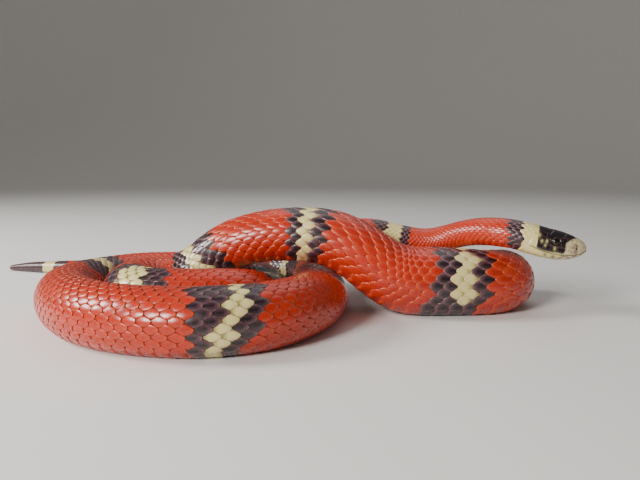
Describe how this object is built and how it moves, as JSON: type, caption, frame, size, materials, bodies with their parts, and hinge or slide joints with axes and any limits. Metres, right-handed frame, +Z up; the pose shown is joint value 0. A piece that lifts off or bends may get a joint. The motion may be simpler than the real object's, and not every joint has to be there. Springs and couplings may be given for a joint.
{
  "type": "milk snake, life-size still model",
  "caption": "Slender ringed snake lying in a loose flat coil, neck laid over its own back and head held level.",
  "frame": {"origin": "on the floor, under the middle of the whole animal's plan", "axes": "+X the way the head points, +Y away from the viewer, +Z up"},
  "size_m": [0.2886, 0.1586, 0.0438],
  "materials": {
    "red_scales": "glossy smooth scales, orange red with black and cream rings",
    "black_head": "glossy shields, black with a pale mottled snout and a cream collar",
    "dark_tail": "glossy smooth scales, dark rings close together",
    "eye": "clear and wet, almost black"
  },
  "bodies": {
    "root": {"eye_left": "eye", "eye_right": "eye", "head": "black_head", "neck_01": "red_scales", "neck_02": "red_scales", "neck_03": "red_scales", "tail_01": "dark_tail", "tail_02": "dark_tail", "torso_01": "red_scales", "torso_02": "red_scales", "torso_03": "red_scales", "torso_04": "red_scales", "torso_05": "red_scales", "torso_06": "red_scales", "torso_07": "red_scales", "torso_08": "red_scales", "torso_09": "red_scales", "torso_10": "red_scales", "torso_11": "red_scales", "torso_12": "red_scales", "torso_13": "red_scales", "torso_14": "red_scales", "torso_15": "red_scales"}
  },
  "joints": []
}
